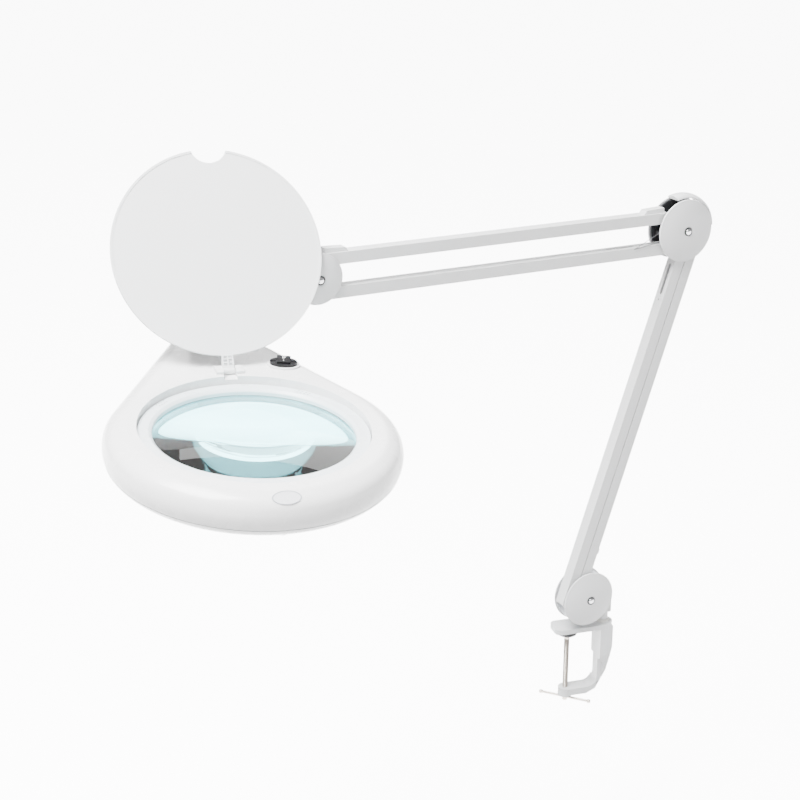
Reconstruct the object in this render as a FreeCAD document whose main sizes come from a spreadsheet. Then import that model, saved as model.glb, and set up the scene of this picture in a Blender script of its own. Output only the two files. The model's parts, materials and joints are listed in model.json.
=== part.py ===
import FreeCAD, Part

# Magnifying lamp on a desk clamp.
# Frame: the origin is on the clamp screw's axis, level with the underside of
# the top jaw (the table top).  +Z is up, +X runs from the screw to the clamp's
# column, and the arm turns about a vertical axis above that column.
# Every sub-part is modelled in a frame of its own and then put in its place.

import math
import os
import re

import Sketcher

VECTOR = FreeCAD.Vector
doc = FreeCAD.newDocument("MagnifyingLamp")

# ---------------------------------------------------------------- sizes, mm and degrees
SIZES = {
    # desk clamp
    "jaw_thickness": 5.5, "jaw_width": 26.0, "jaw_reach": 17.0, "jaw_corner": 7.0,
    "throat": 35.0, "opening": 72.0, "column_thickness": 14.5, "foot_thickness": 8.0,
    "foot_width": 17.0, "throat_corner": 13.0, "web_recess": 6.0,
    "boss_radius": 8.0, "boss_drop": 2.0, "swivel_offset": 42.0, "swivel_boss_radius": 10.5,
    # clamp screw
    "screw_radius": 3.0, "thread_pitch": 1.0, "thread_depth": 0.45, "screw_tail": 16.5,
    "pad_radius": 11.0, "pad_thickness": 3.2, "pad_gap": 2.4, "collar_radius": 4.5,
    "collar_height": 3.0, "tommy_radius": 1.4, "tommy_length": 60.0, "tommy_drop": 85.0,
    "tommy_turn": -39.5,
    # fits
    "run_gap": 0.05, "side_gap": 0.5, "face_gap": 0.15,
    # base joint
    "swivel_rest": 12.0, "swivel_pin_radius": 4.0, "swivel_pin_depth": 26.0,
    "bush_wall": 1.5, "bush_flange_radius": 7.5, "bush_flange": 3.0,
    "post_radius": 5.5, "base_back": 27.0, "base_rise": 42.0,
    "base_plate_radius": 29.0, "base_cover_radius": 31.0,
    # brackets and covers
    "plate_thickness": 2.0, "cover_wall": 1.8, "cover_crown": 4.6, "cover_rim": 1.4,
    "bolt_radius": 2.0, "bolt_head_radius": 3.4, "bolt_head": 2.6,
    "pin_radius": 3.0, "pin_chamfer": 0.4, "spacer_radius": 3.2,
    # arms
    "bar_width": 11.5, "bar_depth": 13.6, "bar_wall": 1.2, "arm_length": 400.0,
    "bush_radius": 4.4, "lower_angle": 71.3, "upper_angle": 1.1,
    "lower_pivot_x": -25.3, "lower_pivot_z": -0.9, "lower_step": 31.0, "lower_spacing": 12.5,
    "spring_radius": 3.6, "spring_length": 150.0, "spring_wire": 1.0, "spring_pitch": 2.4,
    "slot_length": 30.0, "slot_width": 4.0, "tab_height": 5.0, "tab_length": 22.0,
    # elbow joint
    "elbow_cover_radius": 33.0, "elbow_plate_radius": 31.0, "elbow_x": 11.1, "elbow_z": -12.4,
    "upper_pivot_x": -22.0, "upper_pivot_top": 15.2, "upper_pivot_low": -18.2,
    "hood_inner": 34.2, "hood_edge": 35.4, "hood_crown": 38.2, "hood_half_width": 8.8,
    "hood_start": 3.0, "hood_end": 108.0,
    # head joint
    "head_cover_radius": 25.0, "head_plate_radius": 23.5, "head_pivot_x": 1.1,
    "stem_reach": 98.7, "stem_drop": 42.3, "stem_lean": 3.0, "stem_boss_radius": 8.5,
    "stem_boss_low": 11.3, "stem_boss_high": 27.0, "stem_radius": 4.0, "stem_flange": 1.8,
    "lug_radius": 7.0, "lug_thickness": 10.0, "ear_thickness": 4.0, "ear_radius": 8.0,
    "tilt_height": 22.0, "tilt_back": 162.5, "tilt_bolt_radius": 3.0, "knob_radius": 11.4,
    "knob_length": 14.0, "head_yaw": -11.0, "head_tilt": 5.1,
    # head
    "head_radius": 128.0, "neck_radius": 48.0, "neck_back": 170.0, "shell_wall": 2.6,
    "head_top": 10.0, "head_bottom": -30.0, "parting": -19.0,
    "body_slope": 1.9, "slope_back": 175.0,
    "recess_radius": 99.5, "ring_outer": 98.8, "ring_inner": 86.5, "ring_height": 6.0,
    "lens_radius": 89.0, "lens_edge": 4.0, "lens_bulge": 9.8,
    "window_radius": 86.0, "diffuser_inner": 90.0, "diffuser_outer": 109.0,
    # switch and hinge
    "switch_x": 52.0, "switch_y": 117.0, "switch_turn": -14.0, "switch_half_x": 12.6,
    "switch_half_y": 8.6, "rocker_half_x": 6.2, "rocker_half_y": 5.2, "rocker_rest": 9.0,
    "hinge_back": 111.7, "hinge_height": 7.4, "hinge_width": 25.0, "hinge_pin_radius": 1.5,
    "hinge_front": 8.0, "hinge_rear": 4.9, "hinge_floor": 3.1,
    "ladder_width": 10.5, "ladder_thickness": 4.0,
    # lid
    "lid_radius": 97.4, "lid_thickness": 3.4, "lid_opening": 125.7, "scoop_radius": 17.0,
}

sheet = doc.addObject("Spreadsheet::Sheet", "Sizes")
for row, (alias, number) in enumerate(SIZES.items(), start=1):
    sheet.set("A%d" % row, alias)
    sheet.set("B%d" % row, str(number))
    sheet.setAlias("B%d" % row, alias)
doc.recompute()

WORDS = re.compile(r"\b(" + "|".join(sorted(SIZES, key=len, reverse=True)) + r")\b")


def bound(text):
    """An expression on the sheet's cells, such as "bar_width / 2"."""
    return WORDS.sub(r"Sizes.\1", str(text))


def size(text):
    """The present value of such an expression."""
    return float(sheet.evalExpression(bound(text)))


# ---------------------------------------------------------------- sketches and features
def part_body(label):
    body = doc.addObject("PartDesign::Body", label)
    body.Label = label
    return body


def set_size(feature, name, text):
    setattr(feature, name, size(text))
    feature.setExpression(name, bound(text))


def pin_down(sketch, geometry, position, x_text, y_text):
    """Ties one point of a sketch to two expressions."""
    for kind, text in (("DistanceX", x_text), ("DistanceY", y_text)):
        if text is None:
            continue
        number = sketch.addConstraint(
            Sketcher.Constraint(kind, -1, 1, geometry, position, size(text)))
        sketch.setExpression("Constraints[%d]" % number, bound(text))


def add_circle(sketch, x_text, y_text, radius_text):
    centre = VECTOR(size(x_text), size(y_text), 0)
    number = sketch.addGeometry(Part.Circle(centre, VECTOR(0, 0, 1), size(radius_text)), False)
    radius = sketch.addConstraint(Sketcher.Constraint("Radius", number, size(radius_text)))
    sketch.setExpression("Constraints[%d]" % radius, bound(radius_text))
    pin_down(sketch, number, 3, x_text, y_text)


def add_outline(sketch, points):
    """A closed outline.  A point is (x, y), or (x, y, centre_x, centre_y, turn) where an
    arc about that centre leads to it, turn being +1 anticlockwise and -1 clockwise."""
    places = [VECTOR(size(point[0]), size(point[1]), 0) for point in points]
    edges = []
    for index, point in enumerate(points):
        start, end = places[index - 1], places[index]
        if len(point) == 2:
            edges.append((sketch.addGeometry(Part.LineSegment(start, end), False), 1, 2))
            continue
        centre = VECTOR(size(point[2]), size(point[3]), 0)
        circle = Part.Circle(centre, VECTOR(0, 0, 1), (start - centre).Length)
        first, last = (start, end) if point[4] > 0 else (end, start)
        low = math.atan2(first.y - centre.y, first.x - centre.x)
        high = math.atan2(last.y - centre.y, last.x - centre.x)
        if high <= low:
            high += 2 * math.pi
        number = sketch.addGeometry(Part.ArcOfCircle(circle, low, high), False)
        edges.append((number, 1, 2) if point[4] > 0 else (number, 2, 1))
    for index, (number, _, end) in enumerate(edges):
        following, begin, _ = edges[(index + 1) % len(edges)]
        sketch.addConstraint(Sketcher.Constraint("Coincident", number, end, following, begin))
        pin_down(sketch, number, end, points[index][0], points[index][1])
    for index, point in enumerate(points):
        if len(point) == 2:
            continue
        chord = places[index] - places[index - 1]
        if abs(chord.y) > abs(chord.x):
            pin_down(sketch, edges[index][0], 3, point[2], None)
        else:
            pin_down(sketch, edges[index][0], 3, None, point[3])


def add_sketch(body, plane, shapes, offset=None):
    """shapes is a list of outlines and of circles (x, y, radius)."""
    sketch = body.newObject("Sketcher::SketchObject", body.Name + "_sketch")
    origin_plane = [item for item in body.Origin.OriginFeatures if item.Role == plane + "_Plane"]
    sketch.AttachmentSupport = [(origin_plane[0], "")]
    sketch.MapMode = "FlatFace"
    if offset is not None:
        sketch.setExpression("AttachmentOffset.Base.z", bound(offset))
    for shape in shapes:
        if isinstance(shape, tuple):
            add_circle(sketch, *shape)
        else:
            add_outline(sketch, shape)
    doc.recompute()
    return sketch


def extrude(body, kind, plane, shapes, length, offset=None, middle=True, flip=False):
    sketch = add_sketch(body, plane, shapes, offset)
    before = body.Shape.Volume if not body.Shape.isNull() else 0.0
    feature = body.newObject("PartDesign::" + kind, body.Name + "_" + kind.lower())
    feature.Profile = sketch
    set_size(feature, "Length", length)
    if middle:
        feature.Midplane = True
    feature.Reversed = flip
    sketch.Visibility = False
    doc.recompute()
    change = body.Shape.Volume - before
    if (kind == "Pad") != (change > 0.0):
        raise ValueError("%s: a %s changes nothing" % (body.Label, kind))
    return feature


def pad(body, plane, shapes, length, **more):
    return extrude(body, "Pad", plane, shapes, length, **more)


def pocket(body, plane, shapes, length, **more):
    return extrude(body, "Pocket", plane, shapes, length, **more)


def revolve(body, shapes, plane="XZ", axis="V_Axis", angle=None, groove=False):
    sketch = add_sketch(body, plane, shapes)
    before = body.Shape.Volume if not body.Shape.isNull() else 0.0
    kind = "Groove" if groove else "Revolution"
    feature = body.newObject("PartDesign::" + kind, body.Name + "_" + kind.lower())
    feature.Profile = sketch
    feature.ReferenceAxis = (sketch, [axis])
    if angle is None:
        feature.Angle = 360.0
    else:
        set_size(feature, "Angle", angle)
    sketch.Visibility = False
    doc.recompute()
    if groove == (body.Shape.Volume > before):
        raise ValueError("%s: the %s changes nothing" % (body.Label, kind))
    return feature


def rectangle(low_x, low_y, high_x, high_y):
    return [(low_x, low_y), (high_x, low_y), (high_x, high_y), (low_x, high_y)]


def obround(start_x, end_x, middle_y, radius):
    """A slot shape along x, with round ends about its two centres."""
    low, high = "%s - (%s)" % (middle_y, radius), "%s + (%s)" % (middle_y, radius)
    return [(start_x, low), (end_x, low), (end_x, high, end_x, middle_y, 1),
            (start_x, high), (start_x, low, start_x, middle_y, 1)]


def closed_obround(start_x, end_x, middle_y, radius):
    return obround(start_x, end_x, middle_y, radius)[1:]


# ---------------------------------------------------------------- places
def turn(axis, degrees, base=VECTOR(0, 0, 0)):
    return FreeCAD.Placement(base, FreeCAD.Rotation(axis, degrees))


def shift(x, y, z):
    return FreeCAD.Placement(VECTOR(x, y, z), FreeCAD.Rotation())


AXIS_X, AXIS_Y, AXIS_Z = VECTOR(1, 0, 0), VECTOR(0, 1, 0), VECTOR(0, 0, 1)
CLAMP = FreeCAD.Placement()
# The arm's plane is this frame's XZ plane; its Z axis is the base swivel.
ARM = shift(size("swivel_offset"), 0, 0).multiply(turn(AXIS_Z, size("swivel_rest")))
BASE = ARM.multiply(shift(-size("base_back"), 0, size("base_rise")))

lower_slope = math.radians(size("lower_angle"))
along = VECTOR(math.cos(lower_slope), 0, math.sin(lower_slope))
across = VECTOR(math.sin(lower_slope), 0, -math.cos(lower_slope))
BASE_LEFT_PIVOT = VECTOR(size("lower_pivot_x"), 0, size("lower_pivot_z"))
BASE_RIGHT_PIVOT = (BASE_LEFT_PIVOT + across * size("lower_spacing")
                    + along * size("lower_step"))
arm_run = along * size("arm_length")
pivot_middle = (BASE_LEFT_PIVOT + BASE_RIGHT_PIVOT) * 0.5 + arm_run
elbow_centre = pivot_middle - VECTOR(size("elbow_x"), 0, size("elbow_z"))
ELBOW_LEFT_PIVOT = BASE_LEFT_PIVOT + arm_run - elbow_centre
ELBOW_RIGHT_PIVOT = BASE_RIGHT_PIVOT + arm_run - elbow_centre
ELBOW = BASE.multiply(shift(elbow_centre.x, 0, elbow_centre.z))

upper_slope = math.radians(size("upper_angle"))
upper_run = VECTOR(-math.cos(upper_slope), 0, math.sin(upper_slope)) * size("arm_length")
UPPER_TOP_PIVOT = VECTOR(size("upper_pivot_x"), 0, size("upper_pivot_top"))
UPPER_LOW_PIVOT = VECTOR(size("upper_pivot_x"), 0, size("upper_pivot_low"))
pivot_gap = UPPER_TOP_PIVOT.z - UPPER_LOW_PIVOT.z
HEAD_TOP_PIVOT = VECTOR(size("head_pivot_x"), 0, pivot_gap / 2)
HEAD_LOW_PIVOT = VECTOR(size("head_pivot_x"), 0, -pivot_gap / 2)
head_centre = UPPER_TOP_PIVOT + upper_run - HEAD_TOP_PIVOT
HEAD_JOINT = ELBOW.multiply(shift(head_centre.x, 0, head_centre.z))

# STEM has its origin on the tilt axis and its Z axis along the head's swivel.
STEM = HEAD_JOINT.multiply(shift(-size("stem_reach"), 0, -size("stem_drop"))).multiply(
    turn(AXIS_Y, size("stem_lean")))
YAWED = STEM.multiply(turn(AXIS_Z, size("head_yaw")))
HEAD = YAWED.multiply(turn(AXIS_X, size("head_tilt"))).multiply(
    shift(0, -size("tilt_back"), -size("tilt_height")))
# The shells slope down to the front against the lens, about a line at the back of the neck.
SLOPE = turn(AXIS_X, size("body_slope"), VECTOR(0, size("slope_back"), size("head_top"))).multiply(
    shift(0, -size("slope_back"), -size("head_top")))
SHELL = HEAD.multiply(SLOPE)
LID_AXIS = HEAD.multiply(shift(0, size("hinge_back"), size("hinge_height")))
LID = LID_AXIS.multiply(turn(AXIS_X, -size("lid_opening")))
SWITCH = SHELL.multiply(shift(size("switch_x"), size("switch_y"), size("head_top"))).multiply(
    turn(AXIS_Z, size("switch_turn")))
LOWER_LEFT = BASE.multiply(turn(AXIS_Y, -size("lower_angle"), BASE_LEFT_PIVOT))
LOWER_RIGHT = BASE.multiply(turn(AXIS_Y, -size("lower_angle"), BASE_RIGHT_PIVOT))
UPPER_TOP = HEAD_JOINT.multiply(turn(AXIS_Y, size("upper_angle"), HEAD_TOP_PIVOT))
UPPER_BOTTOM = HEAD_JOINT.multiply(turn(AXIS_Y, size("upper_angle"), HEAD_LOW_PIVOT))

nodes = {}


def keep(node, item, place):
    """Names a finished sub-part and puts it in its place."""
    item.Label = node
    item.Placement = place
    nodes[node] = item


def group(node, items, place):
    """Several separate solids kept as one node."""
    compound = doc.addObject("Part::Compound", node)
    compound.Links = items
    keep(node, compound, place)


def own_shape(node, shape, place):
    """A sub-part whose shape is made by Part's own functions."""
    item = doc.addObject("Part::Feature", node)
    item.Shape = shape
    keep(node, item, place.multiply(shape.Placement))


# ---------------------------------------------------------------- shared small pieces
COVER_PLANE = "bar_depth / 2 + side_gap + plate_thickness"


def lathe(label, points, groove=None):
    """A turned piece about its own Z axis; points are (radius, height)."""
    body = part_body(label)
    revolve(body, [points])
    if groove is not None:
        revolve(body, [groove], groove=True)
    return body


def pivot_pin(label):
    """A pin across both side plates, flush with their outer faces, along its own Z axis."""
    half = COVER_PLANE
    return lathe(label, [
        ("0", "-(%s)" % half), ("pin_radius - pin_chamfer", "-(%s)" % half),
        ("pin_radius", "-(%s) + pin_chamfer" % half), ("pin_radius", half + " - pin_chamfer"),
        ("pin_radius - pin_chamfer", half), ("0", half)])


ACROSS = FreeCAD.Rotation(AXIS_X, -90)      # turns a piece's Z axis onto +Y


def at_points(label, make, points):
    """One copy of a cross piece at each point of the arm's plane."""
    items = []
    for number, point in enumerate(points, start=1):
        item = make("%s_%d" % (label, number))
        item.Placement = FreeCAD.Placement(point, ACROSS)
        items.append(item)
    return items


def side_plates(label, radius, holes):
    """Two round side plates with pivot holes and a centre hole."""
    items = []
    for side in (-1, 1):
        body = part_body("%s_%d" % (label, side + 2))
        circles = [("0", "0", "bolt_radius + face_gap")]
        circles += [(str(point.x), str(point.z), "pin_radius") for point in holes]
        pad(body, "XZ", [("0", "0", radius)], "plate_thickness")
        pocket(body, "XZ", circles, "plate_thickness * 3")
        middle = side * size("bar_depth / 2 + side_gap + plate_thickness / 2")
        body.Placement = shift(0, middle, 0)
        items.append(body)
    return items


def cover(label, radius):
    """A round domed cover with a rim and a hole for the centre bolt; its Z axis points out."""
    body = part_body(label)
    rim, crown, wall = "cover_rim", "cover_rim + cover_crown", "cover_wall"
    shoulder = radius + " * 0.62"
    revolve(body, [[
        (radius + " - " + wall, "0"), (radius, "0"), (radius, rim + " * 0.7"),
        (radius + " - 1.2", rim + " + 0.4"), (shoulder, crown + " - 1.2"),
        ("bolt_head_radius + 2.2", crown), ("bolt_head_radius + 1.4", crown + " - 0.8"),
        ("bolt_radius + face_gap", crown + " - 0.8"),
        ("bolt_radius + face_gap", crown + " - 0.8 - " + wall),
        (shoulder, crown + " - 1.4 - " + wall)]])
    return body


def bolt_and_nut(prefix, place):
    """The centre bolt through both covers, with a domed head in front and a nut behind."""
    seat = "%s + face_gap + cover_rim + cover_crown - 0.8" % COVER_PLANE
    bolt = lathe(prefix + "_cover_bolt", [
        ("0", "-(%s) - bolt_head - 1.2" % seat), ("bolt_radius", "-(%s) - bolt_head - 1.2" % seat),
        ("bolt_radius", seat), ("bolt_head_radius", seat), ("bolt_head_radius", seat + " + 1.4"),
        ("bolt_head_radius * 0.72", seat + " + bolt_head - 0.3"),
        ("0", seat + " + bolt_head")])
    bolt.Placement = turn(AXIS_X, 90)
    nut = part_body(prefix + "_cover_nut")
    hexagon = [("%f * bolt_head_radius" % math.cos(math.radians(60 * corner)),
                "%f * bolt_head_radius" % math.sin(math.radians(60 * corner)))
               for corner in range(6)]
    pad(nut, "XY", [hexagon], "bolt_head", offset=seat, middle=False)
    pocket(nut, "XY", [("0", "0", "bolt_radius")], "bolt_head * 30")
    nut.Placement = turn(AXIS_X, -90)
    group(prefix + "_cover_bolt", [bolt, nut], place)


def joint_parts(prefix, place, cover_radius, plate_radius, pivots):
    """Side plates, pins with their spacer, covers, bolt and nut of one joint."""
    group(prefix + "_side_plates", side_plates(prefix + "_plate", plate_radius, pivots), place)
    spacer = part_body(prefix + "_spacer")
    pad(spacer, "XZ", [("0", "0", "spacer_radius"), ("0", "0", "bolt_radius + face_gap")],
        "bar_depth + 2 * side_gap")
    pins = at_points(prefix + "_pin", pivot_pin, pivots)
    group(prefix + "_pivot_pins", pins + [spacer], place)
    lift = size(COVER_PLANE + " + face_gap")
    front = cover(prefix + "_cover_front", cover_radius)
    keep(prefix + "_cover_front", front, place.multiply(turn(AXIS_X, 90, VECTOR(0, -lift, 0))))
    rear = cover(prefix + "_cover_rear", cover_radius)
    keep(prefix + "_cover_rear", rear, place.multiply(turn(AXIS_X, -90, VECTOR(0, lift, 0))))
    bolt_and_nut(prefix, place)


# ---------------------------------------------------------------- desk clamp
def make_clamp_frame():
    frame = part_body("clamp_frame")
    bottom = "-opening - foot_thickness"
    outer = "throat + column_thickness"
    pad(frame, "XZ", [[
        ("-jaw_reach", "0"), ("throat", "0"), ("throat", "-opening + throat_corner"),
        ("throat - throat_corner", "-opening", "throat - throat_corner",
         "-opening + throat_corner", -1),
        ("0", "-opening"), ("0", bottom), ("throat - throat_corner", bottom),
        ("throat - 2", bottom + " + 5"), (outer + " - 6", "-opening + 20"),
        (outer, "-opening * 0.3"), (outer, "jaw_thickness - 2"),
        (outer + " - 2", "jaw_thickness"), ("-jaw_reach", "jaw_thickness")]], "jaw_width")
    for side in ("", "-"):
        pocket(frame, "YZ", [[
            (side + "(jaw_width / 2 + 1)", "-opening * 0.45"),
            (side + "(jaw_width / 2 + 1)", "-opening * 1.3"),
            (side + "(foot_width / 2)", "-opening * 1.3"), (side + "(foot_width / 2)", "-opening"),
            (side + "(jaw_width / 2)", "-opening * 0.45")]], "throat * 6")
    corner = "(-jaw_reach + jaw_corner)"
    edge = "(jaw_width / 2 - jaw_corner)"
    for side, sweep in (("", -1), ("-", 1)):
        pocket(frame, "XY", [[
            ("-jaw_reach - 1", side + edge), ("-jaw_reach", side + edge),
            (corner, side + "(jaw_width / 2)", corner, side + edge, sweep),
            (corner, side + "(jaw_width / 2 + 1)"),
            ("-jaw_reach - 1", side + "(jaw_width / 2 + 1)")]], "jaw_thickness * 3")
    for side, flip in (("jaw_width / 2", False), ("-jaw_width / 2", True)):
        pocket(frame, "XZ", [[
            ("throat - 1", "-opening * 0.50"), ("throat + 5", "-opening * 0.60"),
            ("throat + 4", "-opening * 0.86"), ("throat - 1", "-opening * 0.98")]],
            "web_recess", offset=side, middle=False, flip=flip)
    pad(frame, "XY", [("0", "0", "boss_radius")], "foot_thickness + boss_drop",
        offset="-opening - foot_thickness - boss_drop", middle=False)
    pad(frame, "XY", [("swivel_offset", "0", "swivel_boss_radius")], "jaw_thickness",
        middle=False)
    pocket(frame, "XY", [("swivel_offset", "0", "swivel_pin_radius + bush_wall")],
           "swivel_pin_depth + jaw_thickness + 0.5", offset="jaw_thickness", middle=False)
    pocket(frame, "XY", [("0", "0", "screw_radius + run_gap")],
           "opening + foot_thickness * 4", offset="-opening / 2", middle=False)
    keep("clamp_frame", frame, CLAMP)


def make_swivel_bush():
    outer, bore = "swivel_pin_radius + bush_wall", "swivel_pin_radius + run_gap"
    top = "jaw_thickness + bush_flange"
    bush = lathe("swivel_bush", [
        (bore, "-swivel_pin_depth"), (outer, "-swivel_pin_depth"), (outer, "jaw_thickness"),
        ("bush_flange_radius", "jaw_thickness"), ("bush_flange_radius", top + " - 1"),
        ("bush_flange_radius - 1", top), (bore, top)])
    keep("swivel_bush", bush, shift(size("swivel_offset"), 0, 0))


def make_clamp_screw():
    """The threaded rod: one ring groove per pitch, and a cross hole near its lower end."""
    top = size("-pad_gap - pad_thickness")
    bottom = -size("opening + screw_tail")
    radius, depth = size("screw_radius"), size("thread_depth")
    pitch = size("thread_pitch")
    turns = int((top - size("collar_height") - bottom - 8) / pitch)
    points = [VECTOR(0, 0, bottom), VECTOR(radius - 0.5, 0, bottom), VECTOR(radius, 0, bottom + 0.5)]
    base = bottom + 6
    points.append(VECTOR(radius, 0, base))
    for number in range(turns):
        height = base + number * pitch
        points.append(VECTOR(radius - depth, 0, height + pitch * 0.5))
        points.append(VECTOR(radius, 0, height + pitch))
    points += [VECTOR(radius * 0.7, 0, top - 1.2), VECTOR(radius * 0.7, 0, top), VECTOR(0, 0, top)]
    face = Part.Face(Part.makePolygon(points + points[:1]))
    rod = face.revolve(VECTOR(0, 0, 0), AXIS_Z, 360)
    hole = Part.makeCylinder(size("tommy_radius + run_gap"), 4 * radius,
                             VECTOR(-2 * radius, 0, -size("tommy_drop")), AXIS_X)
    own_shape("clamp_screw", rod.cut(hole), turn(AXIS_Z, size("tommy_turn")))


def make_tommy_bar():
    """The sliding bar, with a formed knob at each end."""
    half, radius = "tommy_length / 2", "tommy_radius"
    bar = lathe("tommy_bar", [
        ("0", "-" + half), (radius + " + 0.2", "-" + half), (radius + " + 0.7", "-%s + 0.8" % half),
        (radius + " + 0.7", "-%s + 3" % half), (radius, "-%s + 4" % half),
        (radius, half + " - 4"), (radius + " + 0.7", half + " - 3"),
        (radius + " + 0.7", half + " - 0.8"), (radius + " + 0.2", half), ("0", half)])
    place = turn(AXIS_Z, size("tommy_turn")).multiply(
        FreeCAD.Placement(VECTOR(0, 0, -size("tommy_drop")), FreeCAD.Rotation(AXIS_Y, 90)))
    keep("tommy_bar", bar, place)


def make_pressure_pad():
    top, low = "-pad_gap", "-pad_gap - pad_thickness"
    pad_body = lathe("pressure_pad", [
        ("0", low + " + 1.6"), ("screw_radius * 0.7 + 0.3", low + " + 1.6"),
        ("screw_radius * 0.7 + 0.3", low), ("pad_radius - 1", low), ("pad_radius", low + " + 0.8"),
        ("pad_radius", top + " - 0.4"), ("pad_radius - 0.4", top), ("0", top)])
    keep("pressure_pad", pad_body, CLAMP)
    collar = lathe("screw_tip_collar", [
        ("screw_radius + 0.1", low + " - collar_height"),
        ("collar_radius - 0.6", low + " - collar_height"),
        ("collar_radius", low + " - collar_height + 0.6"), ("collar_radius", low),
        ("screw_radius + 0.1", low)])
    keep("screw_tip_collar", collar, CLAMP)


# ---------------------------------------------------------------- base joint
def make_base_post():
    """Upright post with its pin below and a block between the side plates above."""
    post = lathe("base_post", [
        ("0", "-swivel_pin_depth + 1"), ("swivel_pin_radius", "-swivel_pin_depth + 1"),
        ("swivel_pin_radius", "jaw_thickness + bush_flange + face_gap"),
        ("post_radius", "jaw_thickness + bush_flange + face_gap"),
        ("post_radius", "base_rise"), ("0", "base_rise")])
    pad(post, "XZ", [[
        ("-post_radius - 2.5", "base_rise - 24"), ("post_radius", "base_rise - 24"),
        ("post_radius", "base_rise + 6"), ("-post_radius - 1", "base_rise + 8"),
        ("-post_radius - 5", "base_rise + 4"), ("-post_radius - 5", "base_rise - 19")]],
        "bar_depth + 2 * side_gap")
    keep("base_post", post, ARM)


# ---------------------------------------------------------------- arms
def make_bar(node, place, slot_at=None, hook_side=False):
    """A U-channel bar, open on its own -Z side, from pivot to pivot along its own X axis."""
    bar = part_body(node)
    half = "bar_width / 2"
    pad(bar, "XZ", [closed_obround("0", "arm_length", "0", half)], "bar_depth")
    pocket(bar, "XZ", [rectangle("-bar_width", "-bar_width", "arm_length + bar_width",
                                 half + " - bar_wall")], "bar_depth - 2 * bar_wall")
    pocket(bar, "XZ", [("0", "0", "bush_radius"), ("arm_length", "0", "bush_radius")],
           "bar_depth * 2")
    if slot_at is not None:
        pocket(bar, "XY", [closed_obround(slot_at, slot_at + " + slot_length", "0",
                                          "slot_width / 2")], "bar_wall * 3", offset=half)
    keep(node, bar, place)


def pivot_bush(label):
    """A flanged sleeve through both cheeks of a bar, along its own Z axis."""
    body = part_body(label)
    pad(body, "XY", [("0", "0", "bush_radius"), ("0", "0", "pin_radius + run_gap")],
        "bar_depth + side_gap * 0.8")
    return body


def make_bushes(node, place):
    ends = [VECTOR(0, 0, 0), VECTOR(size("arm_length"), 0, 0)]
    group(node, at_points(node, pivot_bush, ends), place)


def make_spring(node, start, place, hook):
    """A close-wound coil drawn as stacked rings with plug ends, along the bar's X axis,
    and the wire hook at its pulled end."""
    radius, wire = size("spring_radius"), size("spring_wire")
    pitch, length = size("spring_pitch"), size("spring_length")
    points = [VECTOR(0, 0, 0), VECTOR(radius - wire, 0, 0)]
    for number in range(int(length / pitch)):
        height = number * pitch
        points.append(VECTOR(radius, 0, height + pitch * 0.35))
        points.append(VECTOR(radius, 0, height + pitch * 0.65))
        points.append(VECTOR(radius - wire, 0, height + pitch))
    points.append(VECTOR(0, 0, points[-1].z))
    coil = Part.Face(Part.makePolygon(points + points[:1])).revolve(
        VECTOR(0, 0, 0), AXIS_Z, 360)
    coil.Placement = FreeCAD.Placement(VECTOR(start, 0, 0), FreeCAD.Rotation(AXIS_Y, 90))
    wire = wire_path(hook, size("spring_wire * 0.8"))
    own_shape(node, coil.fuse(wire), place)


def wire_path(points, radius):
    """A thin round wire along straight runs, with a ball in each bend."""
    shape = None
    for number, (start, end) in enumerate(zip(points, points[1:])):
        run = Part.makeCylinder(radius, (end - start).Length, start, end - start)
        shape = run if shape is None else shape.fuse(run)
        if number:
            shape = shape.fuse(Part.makeSphere(radius, start))
    return shape.removeSplitter()


def make_lower_arm():
    length = size("arm_length")
    make_bar("lower_left_bar", LOWER_LEFT, slot_at="arm_length - 46")
    pocket(nodes["lower_left_bar"], "XY", [("arm_length - 54", "0", "1.0")], "bar_wall * 3",
           offset="bar_width / 2")
    make_bar("lower_right_bar", LOWER_RIGHT)
    make_bushes("lower_left_bushes", LOWER_LEFT)
    make_bushes("lower_right_bushes", LOWER_RIGHT)
    spring_start = length - 70 - size("spring_length")
    make_spring("lower_spring", spring_start, LOWER_LEFT, [
        VECTOR(length - 72, 0, 0), VECTOR(length - 56, 0, size("bar_width / 2 - bar_wall") - 1.2),
        VECTOR(length - 22, 0, 2.0)])
    clip = part_body("lower_bar_clip")
    low, reach = "-bar_width / 2", "-bar_width / 2 - 3.4"
    pad(clip, "XZ", [[
        ("27", low), ("29", reach), ("34", reach), ("38", low)]], "bar_depth * 0.6")
    keep("lower_bar_clip", clip, LOWER_RIGHT)


def make_upper_arm():
    length = size("arm_length")
    make_bar("upper_top_bar", UPPER_TOP)
    make_bar("upper_bottom_bar", UPPER_BOTTOM, slot_at="arm_length - 68")
    make_bushes("upper_top_bushes", UPPER_TOP)
    make_bushes("upper_bottom_bushes", UPPER_BOTTOM)
    make_spring("upper_spring", length - 76 - size("spring_length"), UPPER_BOTTOM, [
        VECTOR(length - 78, 0, 0), VECTOR(length - 66, 0, 1.0),
        VECTOR(length - 58, 0, size("bar_width / 2") + 1.5)])
    top = "bar_width / 2"
    tabs = []
    for number, start in enumerate(("8", "arm_length - 3"), start=1):
        tab = part_body("upper_bar_tab_%d" % number)
        end = start + (" + tab_length" if number == 1 else " - tab_length")
        lean = " + 3" if number == 1 else " - 3"
        outline = [(start, top), (start, top + " + tab_height"),
                   (end + lean.replace("3", "0"), top + " + tab_height * 0.8"), (end + lean, top)]
        pad(tab, "XZ", [outline], "bar_depth * 0.72")
        pocket(tab, "XZ", [rectangle(
            "%s %s 1.4" % (start, "+" if number == 1 else "-"), top + " - 1",
            "%s %s 1.4" % (end, "-" if number == 1 else "+"), top + " + tab_height * 0.55")],
            "bar_depth * 0.72 - 2.4")
        tabs.append(tab)
    group("upper_bar_tabs", tabs, UPPER_TOP)


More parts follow.
